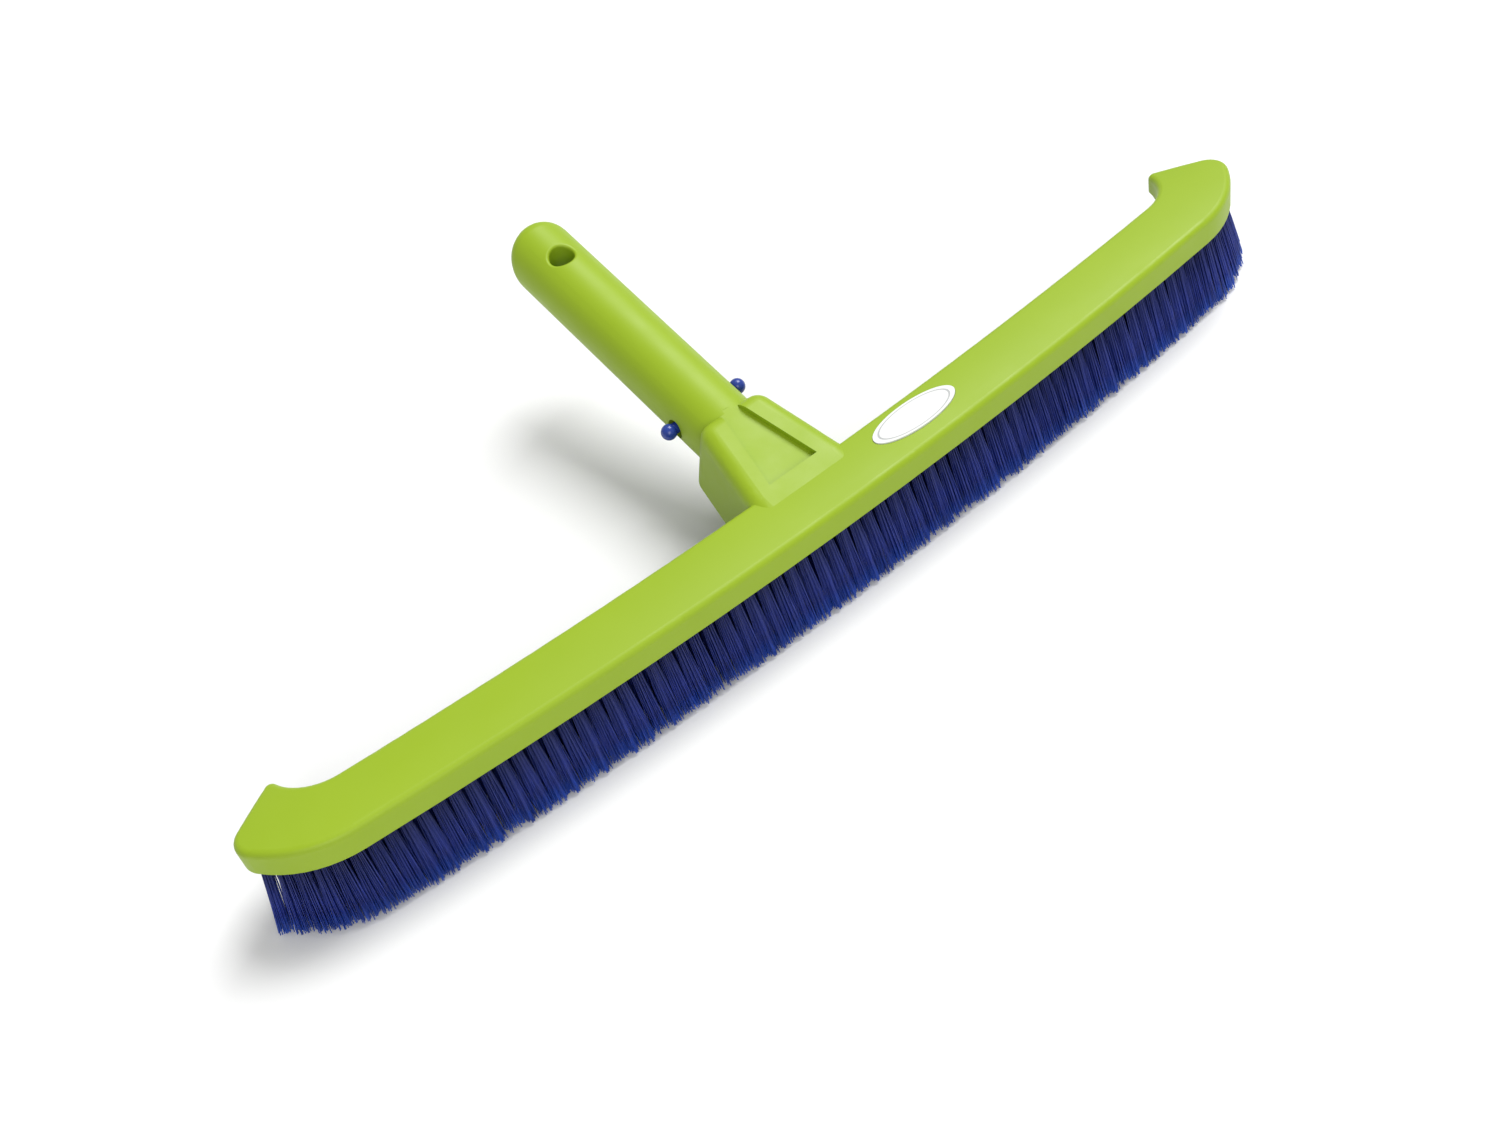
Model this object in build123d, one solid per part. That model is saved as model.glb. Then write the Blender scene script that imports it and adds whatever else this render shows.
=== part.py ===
from build123d import *
import os
from math import acos, asin, atan2, cos, degrees, radians, sin, sqrt

# Pool wall brush, in millimetres. X runs along the brush, Y from the scrubbing front to the pole,
# Z up from the bristle tips. The body's own sizes are measured from the middle of the front rim.

# ---- block ----
LENGTH = 457.0  # over both swept ends
BLOCK_DEPTH = 25.6  # front rim to back rim
BOW_RADIUS = 2050.0  # of the front rim, seen from above
END_RADIUS = 43.8  # of the front rim where the end sweeps back
END_HEADING = 54.5  # degrees that the front rim has turned where its corner starts
CORNER_RADIUS = 8.5  # of the outer corner, seen from above
END_CUT_HEADING = 144.0  # degrees, of the straight end face
END_CUT_LENGTH = 23.5
HORN_RADIUS = 2.6  # of the back corner, seen from above
BACK_SWEEP_RADIUS = 20.0  # of the hollow in the back rim beside the horn
CROWN_HEIGHT = 11.2  # underside to the crown's highest line
CROWN_RADIUS = 150.0  # of the top, seen from the end
CROWN_AXIS = 17.0  # from the front rim to the crown's highest line
EDGE_RADIUS = 2.4  # round the top edge
RIM_WIDTH = 1.8  # rim round the recessed tuft field
RIM_DEPTH = 1.0

# ---- tufts and anchors ----
ROWS = 4
ROW_INSET = 4.8  # rim to the outer rows
ROW_LEAN = 14.9  # degrees that the outer rows lean out
TUFT_PITCH = 6.0
TUFT_RADIUS = 1.9
TIP_RADIUS = 2.45  # the bundle opens a little towards its tips
FREE_LENGTH = 29.9  # underside rim to tips, straight down
TUFT_HOLE_DEPTH = 6.6  # from the recessed field
TUFT_FIT = 0.05  # radial clearance of a tuft in its hole
END_MARGIN = 4.6  # tuft centre to the end face or the back rim
ANCHOR_THICKNESS = 0.5
ANCHOR_HEIGHT = 1.6
ANCHOR_BITE = 0.3  # how far an anchor's ends press into the block
ANCHOR_SEAT = 0.4  # filament folded above the anchor

# ---- pole spigot ----
HANDLE_TILT = 13.1  # degrees above the block
AXIS_BACK = 24.7  # where the spigot axis starts, behind the front rim
AXIS_HEIGHT = -4.1  # and above the underside
SPIGOT_RADIUS = 14.0
SPIGOT_END = 168.5  # along the axis
DOME_RADIUS = 26.0  # of the domed end
TIP_RISE = 10.0  # of the dome's centre above the axis
TIP_ROUND = 6.0
HANG_HOLE_RADIUS = 5.0
HANG_HOLE_AT = 144.3
HANG_HOLE_ROUND = 1.0

# ---- neck ----
NECK_END = 42.2  # along the axis, at its top
NECK_HALF_WIDTH = 14.4  # at its shoulders
NECK_ROOT_HALF_WIDTH = 21.4  # where it meets the block
NECK_ROOT_AT = 3.0
NECK_TOP = 16.4  # above the axis
NECK_BOTTOM = 13.9  # below the axis
NECK_DRAFT = 5.0  # degrees that its sides lean out, going down
NECK_ROUND = 6.0
NECK_WEB_LEAN = 0.5  # run per drop of its front face, to stay clear of the tufts
SHOULDER_ROUND = 6.0
POCKET_FLOOR = 13.9
POCKET_NEAR = 5.0
POCKET_FAR = 40.0
POCKET_HALF_NEAR = 11.0
POCKET_HALF_FAR = 4.3
NECK_WALL = 3.2

# ---- spring clip ----
BUTTON_AT = 57.4  # along the axis
BUTTON_REACH = 16.4  # ball centre from the axis
BALL_RADIUS = 3.15
STEM_RADIUS = 2.2
BUTTON_HOLE_RADIUS = 4.0
BUTTON_HOLE_SHIFT = 0.5  # towards the block, because a pressed button swings that way
PRESS_ANGLE = 7.2  # degrees
CLIP_THICKNESS = 1.8
CLIP_WIDTH = 8.0
BOW_CENTRE_AT = 100.0
BOW_CENTRE_RADIUS = 6.0
ARM_WALL_GAP = 0.5  # arm to the side of its bay
ARM_TAIL = 4.2  # arm past the button's centre
HINGE_GAP = 0.3
POST_FIT = 0.3

# ---- clip bay and light pocket in the spigot's underside ----
BAY_HALF_WIDTH = 9.0
BAY_ROOF = 8.0
BAY_END_CLEARANCE = 3.0
BAY_START = 46.0
WEB = 4.0
LIGHT_POCKET_END = 130.0
BAY_CORNER = 3.0

# ---- badge ----
BADGE_AT = 47.8  # from the middle of the brush
BADGE_LENGTH = 38.0
BADGE_WIDTH = 14.2
BADGE_BACK = 15.0  # behind the front rim
BADGE_THICKNESS = 1.0
BADGE_SEAT = 0.6  # depth of its recess
BADGE_FIT = 0.15

CUT = 30.0  # how far a cut runs past what it cuts

bow_centre = Vector(0, BOW_RADIUS)
end_heading = radians(END_HEADING)
cut_heading = radians(END_CUT_HEADING)
bow_reach = LENGTH / 2 - CORNER_RADIUS - (END_RADIUS - CORNER_RADIUS) * sin(end_heading)
bow_heading = asin(bow_reach / (BOW_RADIUS - END_RADIUS))


def on_arc(centre, radius, heading):
    """The point of an arc at which a rim running towards +X has turned by heading."""
    return centre + Vector(sin(heading), -cos(heading)) * radius


end_centre = on_arc(bow_centre, BOW_RADIUS - END_RADIUS, bow_heading)
corner_centre = on_arc(end_centre, END_RADIUS - CORNER_RADIUS, end_heading)
cut_along = Vector(cos(cut_heading), sin(cut_heading))
back_radius = BOW_RADIUS - BLOCK_DEPTH


def heading_at(point, centre):
    """The rim heading of an arc's point."""
    return atan2(point.X - centre.X, centre.Y - point.Y)


def find_back_sweep():
    """Centre of the arc that leaves the back rim smoothly and ends at the horn, and its first heading."""
    horn = on_arc(corner_centre, CORNER_RADIUS, cut_heading) + cut_along * END_CUT_LENGTH
    reach = back_radius - BACK_SWEEP_RADIUS
    far = (horn - bow_centre).length
    spread = acos((far**2 + reach**2 - BACK_SWEEP_RADIUS**2) / (2 * far * reach))
    heading = heading_at(horn, bow_centre) - spread
    return on_arc(bow_centre, reach, heading), heading


sweep_centre, sweep_heading = find_back_sweep()


def arc_between(centre, radius, first, last):
    """An arc given by the rim headings at its two ends."""
    stops = (first, (first + last) / 2, last)
    return ThreePointArc(*(on_arc(centre, radius, heading) for heading in stops))


def outline(inset=0.0):
    """The block seen from above, drawn smaller all round by inset."""
    cut_start = on_arc(corner_centre, CORNER_RADIUS - inset, cut_heading)
    sweep_radius = BACK_SWEEP_RADIUS + inset
    to_centre = sweep_centre - cut_start
    abreast = to_centre.dot(cut_along)
    aside = to_centre.length**2 - abreast**2
    horn = cut_start + cut_along * (abreast - sqrt(sweep_radius**2 - aside))
    half = Curve() + [
        arc_between(bow_centre, BOW_RADIUS - inset, 0, bow_heading),
        arc_between(end_centre, END_RADIUS - inset, bow_heading, end_heading),
        arc_between(corner_centre, CORNER_RADIUS - inset, end_heading, cut_heading),
        Line(cut_start, horn),
        arc_between(sweep_centre, sweep_radius, heading_at(horn, sweep_centre), sweep_heading),
        arc_between(bow_centre, back_radius + inset, sweep_heading, 0),
    ]
    face = make_face(half + mirror(half, Plane.YZ))
    horns = [v for v in face.vertices() if (Vector(abs(v.X), v.Y) - horn).length < 0.01]
    return fillet(horns, HORN_RADIUS)


def crowned_space():
    """Everything between the underside and the crowned top."""
    near, far = -CUT, BLOCK_DEPTH + 2 * CUT
    low = CROWN_HEIGHT - CROWN_RADIUS
    stops = [(y, low + sqrt(CROWN_RADIUS**2 - (y - CROWN_AXIS) ** 2)) for y in (near, CROWN_AXIS, far)]
    top = ThreePointArc(stops[2], stops[1], stops[0])
    face = make_face(Polyline(stops[0], (near, 0), (far, 0), stops[2]) + top)
    return extrude(Plane.YZ * face, amount=LENGTH, both=True)


def block():
    """The curved bar, with rounded top edges."""
    bar = extrude(outline(), amount=CUT) & crowned_space()
    top = [e for e in bar.edges() if min((e @ t).Z for t in (0, 0.5, 1)) > CROWN_HEIGHT / 2]
    return fillet(top, EDGE_RADIUS)


handle_place = Plane(
    origin=(0, AXIS_BACK, AXIS_HEIGHT),
    x_dir=(1, 0, 0),
    z_dir=(0, -sin(radians(HANDLE_TILT)), cos(radians(HANDLE_TILT))),
)


def along_axis(section, start, end):
    """Extrude a section, drawn in X and height above the axis, between two places along the axis."""
    station = Plane(origin=(0, start, 0), x_dir=(-1, 0, 0), z_dir=(0, 1, 0))
    return extrude(station * section, amount=end - start)


def spigot():
    """The round bar that the pole slides over, with a domed end."""
    bar = along_axis(Circle(SPIGOT_RADIUS), 0, SPIGOT_END + CUT)
    dome_at = SPIGOT_END - DOME_RADIUS
    dome = Pos(0, dome_at, TIP_RISE) * Sphere(DOME_RADIUS)
    bar = bar & (dome + along_axis(Rectangle(4 * CUT, 4 * CUT), -CUT, dome_at))
    rim = [e for e in bar.edges() if e.geom_type != GeomType.LINE and (e @ 0.5).Y > SPIGOT_END / 2]
    return fillet(rim, TIP_ROUND)


def neck_outline(inset=0.0):
    """The flared neck seen square to the spigot axis, drawn smaller at the sides by inset."""
    corners = [
        (NECK_HALF_WIDTH - inset, NECK_END - inset),
        (NECK_ROOT_HALF_WIDTH - inset, NECK_ROOT_AT),
        (NECK_ROOT_HALF_WIDTH - inset, -CUT),
    ]
    left = [(-x, y) for x, y in reversed(corners)]
    face = make_face(Polyline(*corners, *left, close=True))
    shoulders = face.vertices().sort_by(Axis.Y)[-2:]
    return fillet(shoulders, SHOULDER_ROUND - inset / 2)


def tuft_side(gap):
    """What lies in front of a line that drops from the back rim and leans back, below the underside."""
    rim = BLOCK_DEPTH + gap
    corners = [(-CUT, 0), (rim, 0), (rim + 2 * CUT * NECK_WEB_LEAN, -2 * CUT), (-CUT, -2 * CUT)]
    return extrude(Plane.YZ * make_face(Polyline(*corners, close=True)), amount=LENGTH / 2, both=True)


def neck():
    """The flared hub and its rounded top edges, in the handle's own place."""
    flared = extrude(neck_outline(), NECK_TOP + NECK_BOTTOM, taper=-NECK_DRAFT)
    hub = Pos(0, 0, NECK_TOP) * mirror(flared, Plane.XY)
    sides = [e for e in hub.edges() if (e @ 0.5).Z > NECK_TOP - 0.01 and (e @ 0.5).Y > POCKET_NEAR - CUT]
    return fillet(sides, NECK_ROUND)


def pocket():
    """The tapered recess in the neck's top, which just runs out onto the spigot."""
    corners = [
        (POCKET_HALF_NEAR, POCKET_NEAR),
        (POCKET_HALF_FAR, POCKET_FAR),
        (POCKET_HALF_FAR, NECK_END + 1),
    ]
    left = [(-x, y) for x, y in reversed(corners)]
    return Pos(0, 0, POCKET_FLOOR) * extrude(make_face(Polyline(*corners, *left, close=True)), amount=CUT)


bay_end = BOW_CENTRE_AT + BOW_CENTRE_RADIUS + CLIP_THICKNESS / 2 + BAY_END_CLEARANCE


def bay(start, end):
    """A pocket in the spigot's underside with rounded roof corners."""
    section = Pos(0, BAY_ROOF - CUT / 2) * Rectangle(2 * BAY_HALF_WIDTH, CUT)
    section = fillet(section.vertices().sort_by(Axis.Y)[-2:], BAY_CORNER)
    return along_axis(section, start, end)


def core():
    """The hollow under the neck, which keeps its walls even."""
    room = Pos(0, 0, BAY_ROOF - CUT) * extrude(neck_outline(NECK_WALL), amount=CUT)
    room = room & along_axis(Rectangle(4 * CUT, 4 * CUT), 0, BAY_START - WEB)
    behind = Box(LENGTH, 4 * CUT, 4 * CUT, align=(Align.CENTER, Align.MIN, Align.CENTER))
    return handle_place.location * room & Pos(0, BLOCK_DEPTH + NECK_WALL, 0) * behind


def button_hole():
    """Clears a pressed button through either wall of the bay."""
    hole = Cylinder(BUTTON_HOLE_RADIUS, 4 * SPIGOT_RADIUS, rotation=(0, 90, 0))
    return Pos(0, BUTTON_AT - BUTTON_HOLE_SHIFT, 0) * hole


bow_inner = BOW_CENTRE_RADIUS - CLIP_THICKNESS / 2
bow_outer = BOW_CENTRE_RADIUS + CLIP_THICKNESS / 2


def clip_post():
    """The post that the clip's bow hooks round."""
    height = CLIP_WIDTH / 2 + BAY_ROOF + 1
    post = Cylinder(bow_inner - POST_FIT, height, align=(Align.CENTER, Align.CENTER, Align.MIN))
    return Pos(0, BOW_CENTRE_AT, -CLIP_WIDTH / 2) * post


def hang_hole():
    """The hole across the spigot's end, with softened rims."""
    return Pos(0, HANG_HOLE_AT, 0) * Cylinder(HANG_HOLE_RADIUS, 4 * SPIGOT_RADIUS)


def is_hang_rim(edge):
    """Whether an edge runs round a mouth of the hang hole."""
    middle = edge @ 0.5
    across = Vector(middle.X, middle.Y - HANG_HOLE_AT).length
    return abs(across - HANG_HOLE_RADIUS) < 0.01 and edge.geom_type != GeomType.LINE


def handle():
    """Spigot and neck in the handle's own place, without the room for the clip."""
    bar = spigot() - hang_hole()
    bar = fillet([e for e in bar.edges() if is_hang_rim(e)], HANG_HOLE_ROUND)
    return neck() + bar - pocket()


def clip_bow():
    """The half ring that hooks round the post."""
    ring = Cylinder(bow_outer, CLIP_WIDTH) - Cylinder(bow_inner, 2 * CLIP_WIDTH)
    behind = Box(4 * bow_outer, 2 * bow_outer, 2 * CLIP_WIDTH, align=(Align.CENTER, Align.MIN, Align.CENTER))
    return Pos(0, BOW_CENTRE_AT, 0) * (ring & behind)


def clip_arm():
    """The right arm, from its hinge at the bow to past its button."""
    root = BOW_CENTRE_AT - HINGE_GAP
    tail = BUTTON_AT - ARM_TAIL
    outside = BAY_HALF_WIDTH - ARM_WALL_GAP
    corners = [
        (bow_inner, root),
        (bow_outer, root),
        (outside, BUTTON_AT + STEM_RADIUS),
        (outside, tail),
        (outside - CLIP_THICKNESS, tail),
        (outside - CLIP_THICKNESS, BUTTON_AT + STEM_RADIUS),
    ]
    strip = Pos(0, 0, -CLIP_WIDTH / 2) * extrude(make_face(Polyline(*corners, close=True)), amount=CLIP_WIDTH)
    strip_side = outside - CLIP_THICKNESS / 2
    stem = Cylinder(STEM_RADIUS, BUTTON_REACH - strip_side, align=(Align.CENTER, Align.CENTER, Align.MIN))
    button = Pos(strip_side, 0, 0) * Rot(Y=90) * stem + Pos(BUTTON_REACH, 0, 0) * Sphere(BALL_RADIUS)
    return strip + Pos(0, BUTTON_AT, 0) * button


badge_face = Ellipse(BADGE_LENGTH / 2, BADGE_WIDTH / 2)
badge_seat = CROWN_HEIGHT - BADGE_SEAT


def badge():
    """The blank oval plate."""
    return Pos(BADGE_AT, BADGE_BACK, badge_seat) * extrude(badge_face, amount=BADGE_THICKNESS)


def badge_recess():
    """The shallow seat of the plate."""
    wider = Ellipse(BADGE_LENGTH / 2 + BADGE_FIT, BADGE_WIDTH / 2 + BADGE_FIT)
    return Pos(BADGE_AT, BADGE_BACK, badge_seat) * extrude(wider, amount=CUT)


def row_lean(row):
    """Degrees that a row leans towards the front."""
    return ROW_LEAN * (1 - 2 * row / (ROWS - 1))


def row_inset(row):
    """A row's distance behind the front rim."""
    return ROW_INSET + row * (BLOCK_DEPTH - 2 * ROW_INSET) / (ROWS - 1)


def last_heading(inset):
    """How far round the end a row may go before it meets the end face or the back rim."""
    out = Vector(sin(cut_heading), -cos(cut_heading))
    edge = on_arc(corner_centre, CORNER_RADIUS, cut_heading)
    heading = bow_heading
    step = radians(0.25)
    while heading < end_heading:
        point = on_arc(end_centre, END_RADIUS - inset, heading + step)
        to_face = (edge - point).dot(out)
        to_back = (point - sweep_centre).length - BACK_SWEEP_RADIUS
        if min(to_face, to_back) < END_MARGIN:
            break
        heading = heading + step
    return heading


def tuft_places(row):
    """Where a row's tufts stand on the underside, both sides of the middle."""
    inset = row_inset(row)
    lean_back = max(0, -FREE_LENGTH * sin(radians(row_lean(row))))
    end_reach = END_RADIUS - inset - lean_back  # tips that lean together need the pitch
    bow_length = (BOW_RADIUS - inset) * bow_heading
    total = bow_length + end_reach * (last_heading(inset) - bow_heading)
    offset = (row % 2) / 2
    count = int(total / TUFT_PITCH - offset)
    step = total / (count + offset)
    places = []
    for index in range(count + 1):
        along = (index + offset) * step
        heading = along / (BOW_RADIUS - inset)
        centre, radius = bow_centre, BOW_RADIUS - inset
        if along > bow_length:
            heading = bow_heading + (along - bow_length) / end_reach
            centre, radius = end_centre, END_RADIUS - inset
        point = on_arc(centre, radius, heading)
        places.append(Pos(point.X, point.Y, 0) * Rot(Z=degrees(heading)))
        if along > 0:
            places.append(Pos(-point.X, point.Y, 0) * Rot(Z=-degrees(heading)))
    return places


hole_top = RIM_DEPTH + TUFT_HOLE_DEPTH
from_base = (Align.CENTER, Align.CENTER, Align.MIN)
from_top = (Align.CENTER, Align.CENTER, Align.MAX)


def tuft_hole():
    """A drilled hole, before it is leant."""
    return Cylinder(TUFT_RADIUS + TUFT_FIT, hole_top, align=from_base)


def anchor():
    """The metal blade that holds a folded tuft in its hole, before it is leant."""
    width = 2 * (TUFT_RADIUS + TUFT_FIT + ANCHOR_BITE)
    return Pos(0, 0, hole_top - ANCHOR_SEAT) * Box(width, ANCHOR_THICKNESS, ANCHOR_HEIGHT, align=from_top)


def tuft(lean):
    """A bundle of bristles, leant and then trimmed level at its tips."""
    reach = FREE_LENGTH + ROW_INSET
    root = Cylinder(TUFT_RADIUS, hole_top, align=from_base)
    spread = Cone(TUFT_RADIUS, TIP_RADIUS, reach, align=from_base)
    bundle = Rot(X=-lean) * (root + Rot(X=180) * spread - anchor())
    return split(bundle, bisect_by=Plane.XY.offset(-FREE_LENGTH), keep=Keep.TOP)


def arrange(piece, places):
    """Copies of one piece at several places."""
    return Compound([place * piece.solid() for place in places])


rows = range(ROWS)
spots = [tuft_places(row) for row in rows]
leans = [row_lean(row) for row in rows]

hub = handle_place.location * handle() - tuft_side(0)
ahead = Pos(0, EDGE_RADIUS, 0) * Box(LENGTH, 4 * CUT, 4 * CUT, align=(Align.CENTER, Align.MAX, Align.CENTER))
hub = hub - ahead
body = block() + hub - extrude(outline(RIM_WIDTH), amount=RIM_DEPTH)
room = bay(BAY_START, bay_end) + bay(bay_end + WEB, LIGHT_POCKET_END) + button_hole()
body = body - (handle_place.location * (room - clip_post())) - core() - badge_recess()
body = body - [place * Rot(X=-lean) * tuft_hole() for lean, places in zip(leans, spots) for place in places]

nodes = {"body": body, "badge": badge(), "clip_bow": handle_place.location * clip_bow()}
nodes["clip_arm_right"] = handle_place.location * clip_arm()
nodes["clip_arm_left"] = mirror(nodes["clip_arm_right"], Plane.YZ)
for row in rows:
    nodes[f"bristle_row_{row + 1}"] = arrange(tuft(leans[row]), spots[row])
    nodes[f"anchor_row_{row + 1}"] = arrange(Rot(X=-leans[row]) * anchor(), spots[row])

box = Compound([solid for shape in nodes.values() for solid in shape.solids()]).bounding_box()
shift = Pos(-(box.min.X + box.max.X) / 2, -(box.min.Y + box.max.Y) / 2, -box.min.Z)
os.makedirs("parts", exist_ok=True)
for name, shape in nodes.items():
    placed = Compound([shift * solid for solid in shape.solids()])
    export_step(placed, f"parts/{name}.step")
    print(name, len(shape.solids()), shape.is_valid, round(shape.volume, 1))
print("arms press in by", PRESS_ANGLE)
print("size", box.size, "shift", shift.position)
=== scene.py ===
"""Looks for a pool wall brush: green moulded body, blue bristle tufts, snap buttons and a blank badge."""

from __future__ import annotations

import logging
import math
import random
from dataclasses import dataclass
from enum import Enum

import bmesh
import bpy
from mathutils import Matrix, Vector


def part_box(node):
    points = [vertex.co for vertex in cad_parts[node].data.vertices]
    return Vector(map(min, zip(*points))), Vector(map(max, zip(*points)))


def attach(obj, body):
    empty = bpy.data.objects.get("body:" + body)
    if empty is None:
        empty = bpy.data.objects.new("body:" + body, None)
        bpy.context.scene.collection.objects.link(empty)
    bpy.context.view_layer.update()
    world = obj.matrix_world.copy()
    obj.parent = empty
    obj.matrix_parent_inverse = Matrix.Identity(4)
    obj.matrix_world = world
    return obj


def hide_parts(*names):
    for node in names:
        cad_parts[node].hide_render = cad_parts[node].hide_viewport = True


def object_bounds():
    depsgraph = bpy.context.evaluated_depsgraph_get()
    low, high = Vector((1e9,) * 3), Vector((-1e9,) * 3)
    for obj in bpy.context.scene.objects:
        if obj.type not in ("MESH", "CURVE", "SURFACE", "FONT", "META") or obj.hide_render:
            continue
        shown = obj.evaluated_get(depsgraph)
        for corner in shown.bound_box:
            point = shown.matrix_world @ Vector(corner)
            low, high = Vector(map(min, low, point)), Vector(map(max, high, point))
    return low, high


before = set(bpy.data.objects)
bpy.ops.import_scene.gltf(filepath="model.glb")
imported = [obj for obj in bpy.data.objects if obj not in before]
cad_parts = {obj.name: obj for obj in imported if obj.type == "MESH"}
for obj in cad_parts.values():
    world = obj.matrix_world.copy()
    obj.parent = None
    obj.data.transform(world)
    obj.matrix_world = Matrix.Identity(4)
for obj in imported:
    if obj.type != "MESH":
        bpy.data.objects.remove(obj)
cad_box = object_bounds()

log = logging.getLogger("pool_brush")
MM = 0.001
Colour = tuple[float, float, float]
BRUSH = "brush"
RIM_ABOVE_TIPS = 29.9 * MM
TRIM_BAND = 0.02 * MM  # what counts as a tuft's trimmed end
ROOT_BAND = 1.2 * MM  # and as its root
GOLDEN_ANGLE = math.pi * (3.0 - math.sqrt(5.0))
UP = Vector((0.0, 0.0, 1.0))


class Slot(Enum):
    """The record's material slots."""

    GREEN = "green_plastic"
    BADGE = "badge_plastic"
    CLIP = "clip_plastic"
    BRISTLE = "bristle_nylon"
    ANCHOR = "anchor_metal"


# ---- shader helpers ----


def add_node(tree: bpy.types.NodeTree, kind: str, **settings: object) -> bpy.types.Node:
    """Adds a node to a tree.

    Args:
        tree: The node tree to add to.
        kind: The node's type name.
        settings: Attributes to set on the node.

    Returns:
        The new node.
    """
    node = tree.nodes.new(kind)
    for name, value in settings.items():
        setattr(node, name, value)
    return node


def noise_group() -> bpy.types.NodeTree:
    """Builds the mottle group once: a soft mask, from 0 to 1, at a given scale.

    Returns:
        The node group.
    """
    found = bpy.data.node_groups.get("mottle")
    if found:
        return found
    group = bpy.data.node_groups.new("mottle", "ShaderNodeTree")
    group.interface.new_socket("Place", in_out="INPUT", socket_type="NodeSocketVector")
    group.interface.new_socket("Scale", in_out="INPUT", socket_type="NodeSocketFloat")
    group.interface.new_socket("Contrast", in_out="INPUT", socket_type="NodeSocketFloat")
    group.interface.new_socket("Mask", in_out="OUTPUT", socket_type="NodeSocketFloat")
    inside = add_node(group, "NodeGroupInput")
    outside = add_node(group, "NodeGroupOutput")
    noise = add_node(group, "ShaderNodeTexNoise")
    noise.inputs["Detail"].default_value = 3.0
    centred = add_node(group, "ShaderNodeMath", operation="SUBTRACT")
    centred.inputs[1].default_value = 0.5
    scaled = add_node(group, "ShaderNodeMath", operation="MULTIPLY")
    lifted = add_node(group, "ShaderNodeMath", operation="ADD", use_clamp=True)
    lifted.inputs[1].default_value = 0.5
    group.links.new(inside.outputs["Place"], noise.inputs["Vector"])
    group.links.new(inside.outputs["Scale"], noise.inputs["Scale"])
    group.links.new(noise.outputs["Fac"], centred.inputs[0])
    group.links.new(centred.outputs[0], scaled.inputs[0])
    group.links.new(inside.outputs["Contrast"], scaled.inputs[1])
    group.links.new(scaled.outputs[0], lifted.inputs[0])
    group.links.new(lifted.outputs[0], outside.inputs["Mask"])
    return group


def mottle(
    tree: bpy.types.NodeTree, place: bpy.types.NodeSocket, scale: float, contrast: float
) -> bpy.types.NodeSocket:
    """Places the mottle group in a material.

    Args:
        tree: The material's tree.
        place: The coordinates to read.
        scale: Features per metre.
        contrast: How strongly the mask swings about its middle.

    Returns:
        The mask's socket.
    """
    node = add_node(tree, "ShaderNodeGroup", node_tree=noise_group())
    node.inputs["Scale"].default_value = scale
    node.inputs["Contrast"].default_value = contrast
    tree.links.new(place, node.inputs["Place"])
    return node.outputs["Mask"]


def blend_colours(
    tree: bpy.types.NodeTree, mask: bpy.types.NodeSocket, low: object, high: object
) -> bpy.types.NodeSocket:
    """Mixes two colours by a mask.

    Args:
        tree: The material's tree.
        mask: From 0 for low to 1 for high.
        low: A colour, or a socket that gives one.
        high: A colour, or a socket that gives one.

    Returns:
        The mixed colour's socket.
    """
    mix = add_node(tree, "ShaderNodeMix", data_type="RGBA")
    tree.links.new(mask, mix.inputs["Factor"])
    for name, value in (("A", low), ("B", high)):
        socket = next(s for s in mix.inputs if s.name == name and s.type == "RGBA")
        if isinstance(value, bpy.types.NodeSocket):
            tree.links.new(value, socket)
        else:
            socket.default_value = (*value, 1.0)
    return next(s for s in mix.outputs if s.type == "RGBA")


def spread_value(
    tree: bpy.types.NodeTree, mask: bpy.types.NodeSocket, low: float, high: float
) -> bpy.types.NodeSocket:
    """Maps a mask from 0 to 1 onto a range.

    Args:
        tree: The material's tree.
        mask: The mask's socket.
        low: The value where the mask is 0.
        high: The value where the mask is 1.

    Returns:
        The mapped value's socket.
    """
    node = add_node(tree, "ShaderNodeMapRange")
    node.inputs["To Min"].default_value = low
    node.inputs["To Max"].default_value = high
    tree.links.new(mask, node.inputs["Value"])
    return node.outputs["Result"]


@dataclass(frozen=True)
class Plastic:
    """A moulded plastic with a soft drift of tone and a fine mould grain."""

    name: str
    colour: Colour
    second: Colour
    roughness: tuple[float, float] = (0.36, 0.46)
    grain_scale: float = 1400.0
    grain_height: float = 0.00002
    drift_scale: float = 14.0
    specular: float = 0.5
    metallic: float = 0.0

    def material(self) -> bpy.types.Material:
        """Builds the material, or returns it where it exists."""
        found = bpy.data.materials.get(self.name)
        if found:
            return found
        material = bpy.data.materials.new(self.name)
        material.use_nodes = True
        tree = material.node_tree
        shader = tree.nodes["Principled BSDF"]
        place = add_node(tree, "ShaderNodeTexCoord").outputs["Object"]
        drift = mottle(tree, place, self.drift_scale, 1.6)
        tree.links.new(blend_colours(tree, drift, self.colour, self.second), shader.inputs["Base Color"])
        handled = mottle(tree, place, self.drift_scale * 6.0, 2.4)
        tree.links.new(spread_value(tree, handled, *self.roughness), shader.inputs["Roughness"])
        grain = mottle(tree, place, self.grain_scale, 1.0)
        bump = add_node(tree, "ShaderNodeBump")
        bump.inputs["Strength"].default_value = 0.6
        bump.inputs["Distance"].default_value = self.grain_height
        tree.links.new(grain, bump.inputs["Height"])
        tree.links.new(bump.outputs["Normal"], shader.inputs["Normal"])
        shader.inputs["Specular IOR Level"].default_value = self.specular
        shader.inputs["Metallic"].default_value = self.metallic
        return material


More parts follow.
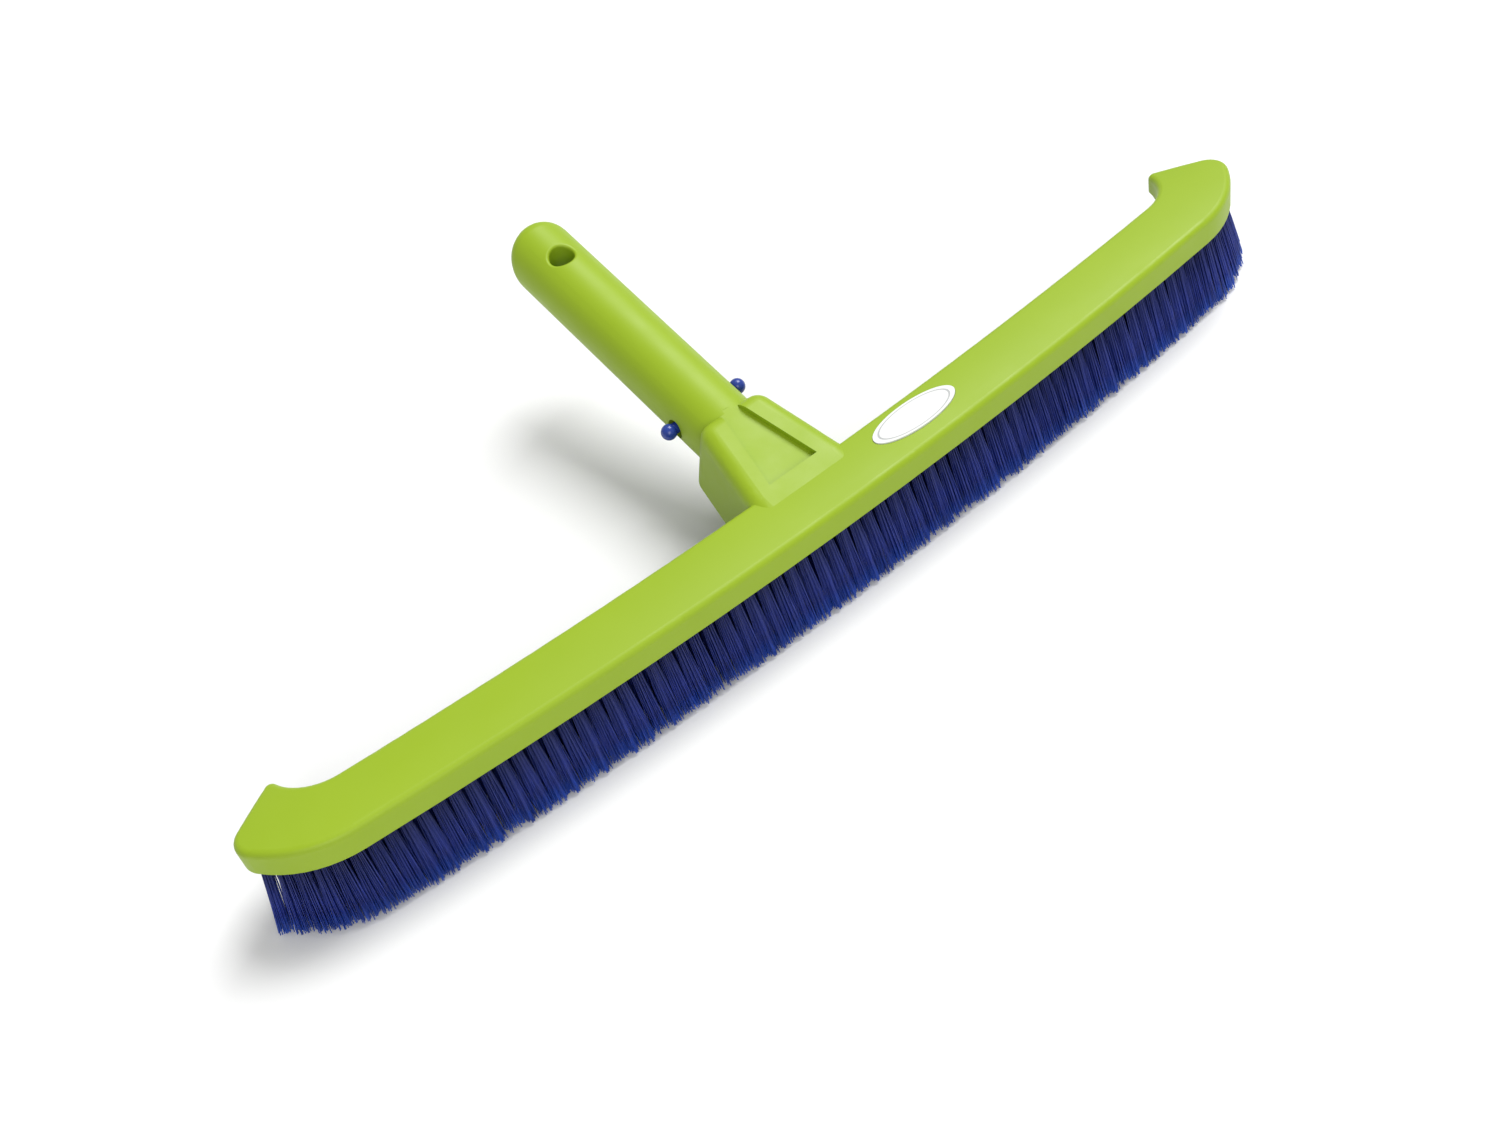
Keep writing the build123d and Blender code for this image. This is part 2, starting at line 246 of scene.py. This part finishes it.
@dataclass(frozen=True)
class Nylon:
    """Bristle nylon: painted shade darkens it towards the roots under the body, painted light makes it paler
    towards the tips, streaked along its length.
    """

    name: str
    # root is painted shade for the nylon up under the body; tip is painted light for the lit tips.
    root: Colour
    middle: Colour
    tip: Colour
    top: float
    roughness: tuple[float, float] = (0.28, 0.44)

    def material(self) -> bpy.types.Material:
        """Builds the material, or returns it where it exists."""
        found = bpy.data.materials.get(self.name)
        if found:
            return found
        material = bpy.data.materials.new(self.name)
        material.use_nodes = True
        tree = material.node_tree
        shader = tree.nodes["Principled BSDF"]
        place = add_node(tree, "ShaderNodeTexCoord").outputs["Object"]
        split = add_node(tree, "ShaderNodeSeparateXYZ")
        tree.links.new(place, split.inputs[0])
        # Painted shade: the colour darkens to the root colour from 0.45 of the rim height up to the rim,
        # under the body.
        low = add_node(tree, "ShaderNodeMapRange")
        low.inputs["From Min"].default_value = self.top
        low.inputs["From Max"].default_value = self.top * 0.45
        tree.links.new(split.outputs["Z"], low.inputs["Value"])
        # Painted light: the colour pales to the tip colour over the lowest 0.3 of the rim height, at the lit
        # tips.
        tip_light_ramp = add_node(tree, "ShaderNodeMapRange")
        tip_light_ramp.inputs["From Min"].default_value = self.top * 0.30
        tip_light_ramp.inputs["From Max"].default_value = 0.0
        tree.links.new(split.outputs["Z"], tip_light_ramp.inputs["Value"])
        body = blend_colours(tree, low.outputs["Result"], self.root, self.middle)
        shade_and_light_colour = blend_colours(tree, tip_light_ramp.outputs["Result"], body, self.tip)
        stretch = add_node(tree, "ShaderNodeMapping")
        stretch.inputs["Scale"].default_value = (1.0, 1.0, 0.03)
        tree.links.new(place, stretch.inputs["Vector"])
        streaks = mottle(tree, stretch.outputs["Vector"], 900.0, 2.2)
        dimmed = blend_colours(tree, streaks, tuple(0.6 * c for c in self.middle), shade_and_light_colour)
        clumps = mottle(tree, stretch.outputs["Vector"], 140.0, 2.6)
        tree.links.new(blend_colours(tree, clumps, dimmed, shade_and_light_colour), shader.inputs["Base Color"])
        tree.links.new(spread_value(tree, streaks, *self.roughness), shader.inputs["Roughness"])
        shader.inputs["Specular IOR Level"].default_value = 0.45
        return material


@dataclass(frozen=True)
class BadgeFace:
    """White plate plastic with a thin grey line inside its edge."""

    name: str
    white: Colour
    grey: Colour
    centre: tuple[float, float]
    half_size: tuple[float, float]

    def material(self) -> bpy.types.Material:
        """Builds the material, or returns it where it exists."""
        found = bpy.data.materials.get(self.name)
        if found:
            return found
        material = bpy.data.materials.new(self.name)
        material.use_nodes = True
        tree = material.node_tree
        shader = tree.nodes["Principled BSDF"]
        place = add_node(tree, "ShaderNodeTexCoord").outputs["Object"]
        centred = add_node(tree, "ShaderNodeMapping", vector_type="TEXTURE")
        centred.inputs["Location"].default_value = (*self.centre, 0.0)
        centred.inputs["Scale"].default_value = (*self.half_size, 1.0)
        tree.links.new(place, centred.inputs["Vector"])
        flat = add_node(tree, "ShaderNodeVectorMath", operation="MULTIPLY")
        flat.inputs[1].default_value = (1.0, 1.0, 0.0)
        tree.links.new(centred.outputs["Vector"], flat.inputs[0])
        reach = add_node(tree, "ShaderNodeVectorMath", operation="LENGTH")
        tree.links.new(flat.outputs["Vector"], reach.inputs[0])
        line = add_node(tree, "ShaderNodeMath", operation="COMPARE")
        line.inputs[1].default_value = 0.86
        line.inputs[2].default_value = 0.022
        tree.links.new(reach.outputs["Value"], line.inputs[0])
        drift = mottle(tree, place, 260.0, 1.6)
        face = blend_colours(tree, drift, self.white, tuple(0.93 * c for c in self.white))
        tree.links.new(blend_colours(tree, line.outputs[0], face, self.grey), shader.inputs["Base Color"])
        tree.links.new(spread_value(tree, drift, 0.25, 0.38), shader.inputs["Roughness"])
        return material


GREEN = Plastic(
    "green_polypropylene",
    colour=(0.285, 0.415, 0.011),
    second=(0.255, 0.385, 0.009),
    roughness=(0.42, 0.52),
    specular=0.38,
)
BLUE = Plastic(
    "blue_acetal",
    colour=(0.020, 0.050, 0.30),
    second=(0.016, 0.040, 0.25),
    roughness=(0.2, 0.3),
    drift_scale=60.0,
)
METAL = Plastic(
    "drawn_wire",
    colour=(0.70, 0.55, 0.28),
    second=(0.6, 0.47, 0.24),
    roughness=(0.25, 0.4),
    metallic=1.0,
)
BADGE_WHITE = (0.75, 0.76, 0.74)
BADGE_GREY = (0.42, 0.43, 0.43)
NYLON = Nylon(
    "bristle_nylon_blue",
    # root is painted shade near the body; tip is painted light at the tips.
    root=(0.004, 0.007, 0.045),
    middle=(0.015, 0.034, 0.28),
    tip=(0.026, 0.120, 0.70),
    top=RIM_ABOVE_TIPS,
)


# ---- pieces ----


def dress(thing: bpy.types.Object, material: bpy.types.Material) -> None:
    """Puts one material on every slot of an object.

    Args:
        thing: The object.
        material: Its new material.
    """
    thing.data.materials.clear()
    thing.data.materials.append(material)


def finish_piece(
    mesh: bpy.types.Mesh, name: str, material: bpy.types.Material
) -> bpy.types.Object:
    """Makes a finished object from a mesh.

    Args:
        mesh: The mesh, already in its place.
        name: The piece's name.
        material: Its material.

    Returns:
        The object.
    """
    piece = bpy.data.objects.new(name, mesh)
    bpy.context.scene.collection.objects.link(piece)
    dress(piece, material)
    return piece


def islands(shape: bmesh.types.BMesh) -> list[list[bmesh.types.BMVert]]:
    """Groups a mesh's vertices by connected shell.

    Args:
        shape: The mesh.

    Returns:
        The vertices of each shell.
    """
    seen: set[bmesh.types.BMVert] = set()
    groups = []
    for first in shape.verts:
        if first in seen:
            continue
        seen.add(first)
        group, waiting = [], [first]
        while waiting:
            vert = waiting.pop()
            group.append(vert)
            for edge in vert.link_edges:
                other = edge.other_vert(vert)
                if other not in seen:
                    seen.add(other)
                    waiting.append(other)
        groups.append(group)
    return groups


@dataclass
class BristleRow:
    """One row of tufts, each a bundle of separate filaments."""

    node: str
    seed: int
    filaments: int = 70
    filament_radius: float = 0.22 * MM
    root_radius: float = 1.65 * MM
    tip_radius: float = 2.05 * MM
    end_reach: float = 2.7 * MM
    overlap: float = 1.0
    stray: float = 0.45 * MM
    tuft_raggedness: float = 1.6 * MM
    tip_raggedness: float = 2.2 * MM
    variants: int = 6
    rings: int = 3
    sides: int = 3

    def tufts(self) -> list[tuple[Vector, Vector]]:
        """Finds the root and tip centre of every tuft in the CAD node."""
        shape = bmesh.new()
        shape.from_mesh(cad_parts[self.node].data)
        bmesh.ops.remove_doubles(shape, verts=shape.verts, dist=1e-6)
        found = []
        for group in islands(shape):
            low = min(v.co.z for v in group)
            high = max(v.co.z for v in group)
            tips = [v.co for v in group if v.co.z < low + TRIM_BAND]
            roots = [v.co for v in group if v.co.z > high - ROOT_BAND]
            found.append((sum(roots, Vector()) / len(roots), sum(tips, Vector()) / len(tips)))
        shape.free()
        return sorted(found, key=lambda pair: pair[1].x)

    def filament(self, shape: bmesh.types.BMesh, foot: Vector, end: Vector, bend: Vector) -> None:
        """Adds one closed filament to a mesh.

        Args:
            shape: The mesh to add to.
            foot: Its centre at the root.
            end: Its centre at the tip.
            bend: How far its middle is pushed aside.
        """
        turn = (end - foot).to_track_quat("Z", "Y").to_matrix().to_4x4()
        made = bmesh.ops.create_circle(
            shape,
            cap_ends=True,
            segments=self.sides,
            radius=self.filament_radius,
            matrix=Matrix.Translation(foot) @ turn,
        )
        face = made["verts"][0].link_faces[0]
        step = (end - foot) / self.rings
        for ring in range(self.rings):
            grown = bmesh.ops.extrude_face_region(shape, geom=[face], use_keep_orig=ring == 0)
            if ring:
                bmesh.ops.delete(shape, geom=[face], context="FACES_ONLY")
            verts = [g for g in grown["geom"] if isinstance(g, bmesh.types.BMVert)]
            face = next(g for g in grown["geom"] if isinstance(g, bmesh.types.BMFace))
            swing = math.sin(math.pi * (ring + 1) / self.rings) - math.sin(math.pi * ring / self.rings)
            bmesh.ops.translate(shape, verts=verts, vec=step + bend * swing)

    def tuft(self, axis: Vector, length: float, reach: float, chance: random.Random) -> bpy.types.Mesh:
        """Builds one tuft about the tuft axis, trimmed level.

        Args:
            axis: The direction from tip to root.
            length: From tip to root along the axis.
            reach: How far its tips spread along the row.
            chance: The source of its unevenness.

        Returns:
            The tuft, with its trimmed end's centre at the origin.
        """
        side = UP.cross(axis).normalized() if abs(axis.z) < 0.9999 else Vector((1.0, 0.0, 0.0))
        across = axis.cross(side)
        slope = -across.z / axis.z
        shape = bmesh.new()
        trim = chance.uniform(0.0, self.tuft_raggedness)
        for index in range(self.filaments):
            share = math.sqrt((index + 0.5) / self.filaments)
            angle = GOLDEN_ANGLE * index + chance.uniform(-0.2, 0.2)
            away = Vector((math.cos(angle), math.sin(angle)))
            spread = min(share * self.tip_radius + chance.gauss(0.0, self.stray), self.tip_radius)
            foot = away * share * self.root_radius
            along = away.x * spread * reach / self.tip_radius + chance.gauss(0.0, self.stray)
            end = Vector((along, away.y * spread))
            rise = self.filament_radius + trim + abs(chance.gauss(0.0, 0.45)) * self.tip_raggedness
            bend = away * chance.uniform(-0.2, 0.45) * MM
            self.filament(
                shape,
                side * foot.x + across * foot.y + axis * length,
                side * end.x + across * end.y + axis * (slope * end.y + rise),
                side * bend.x + across * bend.y,
            )
        for face in shape.faces:
            face.smooth = True
        bmesh.ops.recalc_face_normals(shape, faces=shape.faces)
        mesh = bpy.data.meshes.new("tuft")
        shape.to_mesh(mesh)
        shape.free()
        return mesh

    def build(self) -> bpy.types.Object:
        """Builds the whole row and stands it in for the CAD node."""
        chance = random.Random(self.seed)
        places = self.tufts()
        middle = min(places, key=lambda pair: abs(pair[1].x))
        axis = (middle[0] - middle[1]).normalized()
        length = (middle[0] - middle[1]).length
        gap = (middle[1] - places[places.index(middle) + 1][1]).length
        wide = max((one[1] - other[1]).length for one, other in zip(places, places[1:]))
        close_kinds = [self.tuft(axis, length, self.overlap * gap / 2, chance) for _ in range(self.variants)]
        wide_kinds = [self.tuft(axis, length, self.overlap * wide / 2, chance) for _ in range(self.variants)]
        narrow_kinds = [self.tuft(axis, length, self.end_reach, chance) for _ in range(self.variants)]
        margin = cad_box[1][0] - self.overlap * wide / 2
        flat = Vector((axis.x, axis.y))
        shape = bmesh.new()
        for index, (root, tip) in enumerate(places):
            after = places[min(index + 1, len(places) - 1)][1]
            apart = (tip - after).length if index + 1 < len(places) else wide
            kinds = wide_kinds if apart > (gap + wide) / 2 else close_kinds
            if abs(tip.x) > margin:
                kinds = narrow_kinds
            lean = root - tip
            heading = flat.angle_signed(Vector((lean.x, lean.y)), 0.0) if flat.length > 1e-4 else 0.0
            before = len(shape.verts)
            shape.from_mesh(chance.choice(kinds))
            shape.verts.ensure_lookup_table()
            place = Matrix.Translation(Vector((tip.x, tip.y, 0.0))) @ Matrix.Rotation(-heading, 4, "Z")
            bmesh.ops.transform(shape, matrix=place, verts=shape.verts[before:])
        mesh = bpy.data.meshes.new(f"{self.node}_filaments")
        shape.to_mesh(mesh)
        shape.free()
        for kind in close_kinds + wide_kinds + narrow_kinds:
            bpy.data.meshes.remove(kind)
        piece = finish_piece(mesh, f"{self.node}_filaments", NYLON.material())
        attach(piece, BRUSH)
        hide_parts(self.node)
        log.info("%s: %d tufts, %d faces", piece.name, len(places), len(mesh.polygons))
        return piece


@dataclass
class Bristles:
    """All the rows of tufts and their anchors."""

    rows: int = 4
    seed: int = 11

    def build(self) -> list[bpy.types.Object]:
        """Builds every row and dresses the anchors."""
        made = [BristleRow(f"bristle_row_{row + 1}", self.seed + row).build() for row in range(self.rows)]
        for row in range(self.rows):
            dress(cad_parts[f"anchor_row_{row + 1}"], METAL.material())
        return made


@dataclass
class MouldedBody:
    """The green body, dressed with the green plastic."""

    node: str = "body"

    def build(self) -> None:
        """Dresses the body."""
        dress(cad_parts[self.node], GREEN.material())
        log.info("%s: dressed", self.node)


@dataclass
class SnapClip:
    """The blue spring clip with its two buttons."""

    nodes: tuple[str, ...] = ("clip_bow", "clip_arm_left", "clip_arm_right")

    def build(self) -> None:
        """Dresses the clip's pieces."""
        for node in self.nodes:
            dress(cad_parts[node], BLUE.material())
            log.info("%s: dressed", node)


@dataclass
class Badge:
    """The blank oval plate."""

    node: str = "badge"

    def build(self) -> None:
        """Dresses the plate about its own middle."""
        low, high = (Vector(corner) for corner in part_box(self.node))
        middle = (low + high) / 2
        half = (high - low) / 2
        face = BadgeFace("badge_white", BADGE_WHITE, BADGE_GREY, (middle.x, middle.y), (half.x, half.y))
        dress(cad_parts[self.node], face.material())
        log.info("%s: dressed", self.node)


# ---- studio ----


@dataclass
class Studio:
    """Pale floor, soft lights and the camera."""

    floor_size: float = 12.0
    floor_colour: Colour = (0.82, 0.82, 0.82)
    world_colour: Colour = (1.0, 1.0, 1.0)
    world_strength: float = 0.46
    camera_place: tuple[float, float, float] = (-0.24098, -0.47498, 0.48782)
    azimuth: float = 27.604
    elevation: float = 45.612
    roll: float = 15.144
    lens: float = 44.023

    def floor(self) -> None:
        """Lays the floor under the bristle tips."""
        shape = bmesh.new()
        bmesh.ops.create_grid(shape, x_segments=1, y_segments=1, size=self.floor_size / 2)
        mesh = bpy.data.meshes.new("floor")
        shape.to_mesh(mesh)
        shape.free()
        floor = bpy.data.objects.new("floor", mesh)
        bpy.context.scene.collection.objects.link(floor)
        material = bpy.data.materials.new("floor_paint")
        material.use_nodes = True
        shader = material.node_tree.nodes["Principled BSDF"]
        shader.inputs["Base Color"].default_value = (*self.floor_colour, 1.0)
        shader.inputs["Roughness"].default_value = 0.9
        dress(floor, material)

    def light(
        self, name: str, place: tuple[float, float, float], aim: Vector, size: float, power: float
    ) -> None:
        """Hangs one soft square light.

        Args:
            name: The light's name.
            place: Where it hangs.
            aim: What it faces.
            size: Its side.
            power: Its power in watts.
        """
        data = bpy.data.lights.new(name, "AREA")
        data.shape = "SQUARE"
        data.size = size
        data.energy = power
        lamp = bpy.data.objects.new(name, data)
        bpy.context.scene.collection.objects.link(lamp)
        lamp.location = place
        lamp.rotation_euler = (aim - Vector(place)).to_track_quat("-Z", "Y").to_euler()

    def world(self) -> None:
        """Sets an even white surround."""
        world = bpy.data.worlds.new("surround")
        world.use_nodes = True
        background = world.node_tree.nodes["Background"]
        background.inputs["Color"].default_value = (*self.world_colour, 1.0)
        background.inputs["Strength"].default_value = self.world_strength
        bpy.context.scene.world = world

    def camera(self) -> None:
        """Sets the camera."""
        data = bpy.data.cameras.new("camera")
        data.sensor_width = 36.0
        data.lens = self.lens
        data.clip_start = 0.01
        data.clip_end = 60.0
        camera = bpy.data.objects.new("camera", data)
        bpy.context.scene.collection.objects.link(camera)
        across, down = math.radians(self.azimuth), math.radians(self.elevation)
        look = Vector((math.cos(down) * math.sin(across), math.cos(down) * math.cos(across), -math.sin(down)))
        level = look.to_track_quat("-Z", "Y").to_matrix().to_4x4()
        place = Matrix.Translation(Vector(self.camera_place))
        camera.matrix_world = place @ level @ Matrix.Rotation(-math.radians(self.roll), 4, "Z")
        bpy.context.scene.camera = camera

    def build(self) -> None:
        """Sets the whole stage."""
        bpy.context.scene.view_settings.view_transform = "Standard"
        self.camera()
        self.floor()
        self.world()
        aim = Vector((0.0, 0.0, 0.02))
        self.light("key", (2.2, 0.6, 3.8), aim, 2.2, 190.0)
        self.light("fill", (-1.4, -3.4, 2.4), aim, 2.6, 75.0)


def main() -> None:
    """Builds the stage, then each part of the brush in turn."""
    logging.basicConfig(level=logging.INFO, format="%(name)s %(message)s")
    Studio().build()
    MouldedBody().build()
    SnapClip().build()
    Badge().build()
    Bristles().build()


if __name__ == "__main__":
    main()
